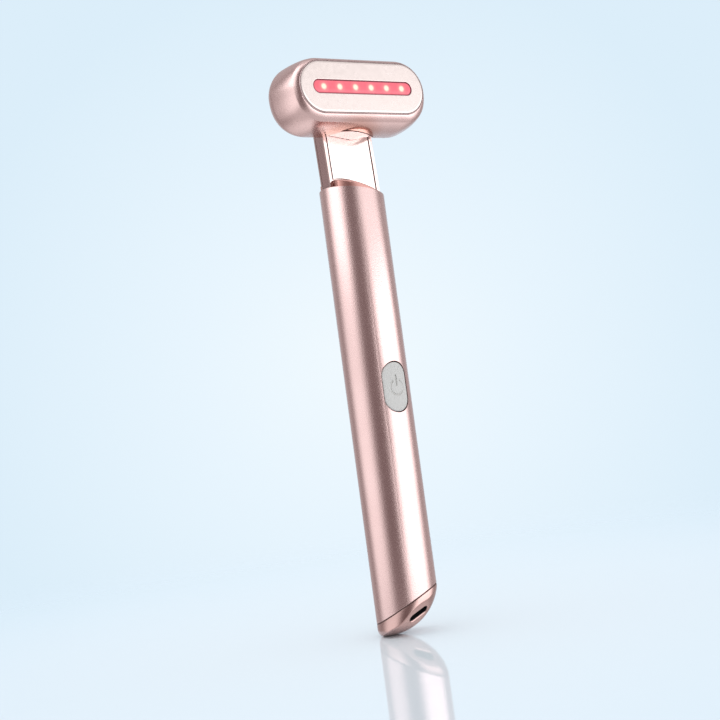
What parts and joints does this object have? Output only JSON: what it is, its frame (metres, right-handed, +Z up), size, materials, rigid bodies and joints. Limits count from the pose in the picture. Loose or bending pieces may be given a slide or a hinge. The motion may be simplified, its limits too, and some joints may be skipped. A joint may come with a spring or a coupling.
{
  "type": "microcurrent eye wand",
  "caption": "Rose-gold microcurrent eye wand: slim round handle with power button and charging port, swivelling canted neck, bar head with contact plate and red light window.",
  "frame": {"origin": "bottom centre of the bounding box, under the flat of the tail", "axes": "+Z up along the handle axis, the button and the contact plate face -Y, +X to the right seen from the front"},
  "size_m": [0.0488, 0.0234, 0.1686],
  "materials": {
    "satin_rose": "fine bead-blasted rose-gold coat, satin",
    "tail_rose": "smooth rose-gold coat, semi-gloss",
    "copper_rose": "polished coppery rose-gold plating",
    "polished_rose": "mirror-polished rose-gold plating",
    "plate_rose": "polished pale rose-gold contact plating",
    "insulator_rose": "dusky pink moulding with a soft gloss",
    "red_window": "translucent salmon-red light window",
    "led_white": "clear encapsulated light chip",
    "button_grey": "light grey matte moulding",
    "black_rubber": "plain black rubber",
    "black_plastic": "plain black moulding",
    "white_plastic": "natural white moulding",
    "board_green": "green solder mask on laminate",
    "steel": "bright nickel-plated steel",
    "brass": "bright brass",
    "copper": "lacquered copper winding",
    "cell_blue": "blue heat-shrink sleeve",
    "wire_red": "red wire insulation",
    "wire_black": "black wire insulation"
  },
  "bodies": {
    "handle": {"handle_tube": "satin_rose", "tail_cap": "tail_rose", "tail_gasket": "black_rubber", "usb_shell": "steel", "usb_tongue": "black_plastic", "usb_board": "board_green", "switch_body": "black_plastic", "inner_carrier": "white_plastic", "main_board": "board_green", "control_chip": "black_plastic", "charge_chip": "black_plastic", "boost_coil": "copper", "capacitor_1": "brass", "capacitor_2": "brass", "lead_socket": "white_plastic", "battery_cell": "cell_blue", "battery_wire_red": "wire_red", "battery_wire_black": "wire_black", "board_screw_lower": "steel", "board_screw_upper": "steel", "swivel_bush": "white_plastic", "friction_ring": "black_rubber", "head_lead_lower": "black_rubber"},
    "head": {"head_shell": "satin_rose", "neck_frame": "polished_rose", "trim_front": "copper_rose", "trim_back": "copper_rose", "contact_plate": "plate_rose", "plate_insulator": "insulator_rose", "light_window": "red_window", "neck_panel_front": "polished_rose", "neck_panel_back": "polished_rose", "neck_panel_left": "polished_rose", "neck_panel_right": "polished_rose", "neck_nut": "brass", "spindle_clip": "steel", "stop_pin": "steel", "head_lead_upper": "black_rubber", "plate_contact": "brass", "led_board": "board_green", "head_screw_left": "steel", "head_screw_right": "steel", "motor_cradle": "black_plastic", "motor_can": "steel", "led_1": "led_white", "led_2": "led_white", "led_3": "led_white", "led_4": "led_white", "led_5": "led_white", "led_6": "led_white"},
    "rotor": {"motor_shaft": "steel", "eccentric_weight": "brass"},
    "button": {"power_button": "button_grey"},
    "plunger": {"switch_plunger": "white_plastic"}
  },
  "joints": [
    {"name": "head_swivel", "type": "hinge", "parent": "handle", "child": "head", "pos_m": [0, 0.00171, 0.1303], "axis": [0, 0, 1], "range_deg": [-90, 90]},
    {"name": "motor_spin", "type": "hinge", "parent": "head", "child": "rotor", "pos_m": [-0.018, 0.00098, 0.15866], "axis": [1, 0, 0], "continuous": true},
    {"name": "button_press", "type": "slide", "parent": "handle", "child": "button", "axis": [0, 1, 0], "range_m": [0, 0.0005], "stiffness_N_per_m": 3000, "springref_m": -0.0001},
    {"name": "plunger_press", "type": "slide", "parent": "handle", "child": "plunger", "axis": [0, 1, 0], "range_m": [0, 0.0005]}
  ],
  "couplings": [
    {"joint": "plunger_press", "follows": "button_press", "ratio": 1}
  ]
}
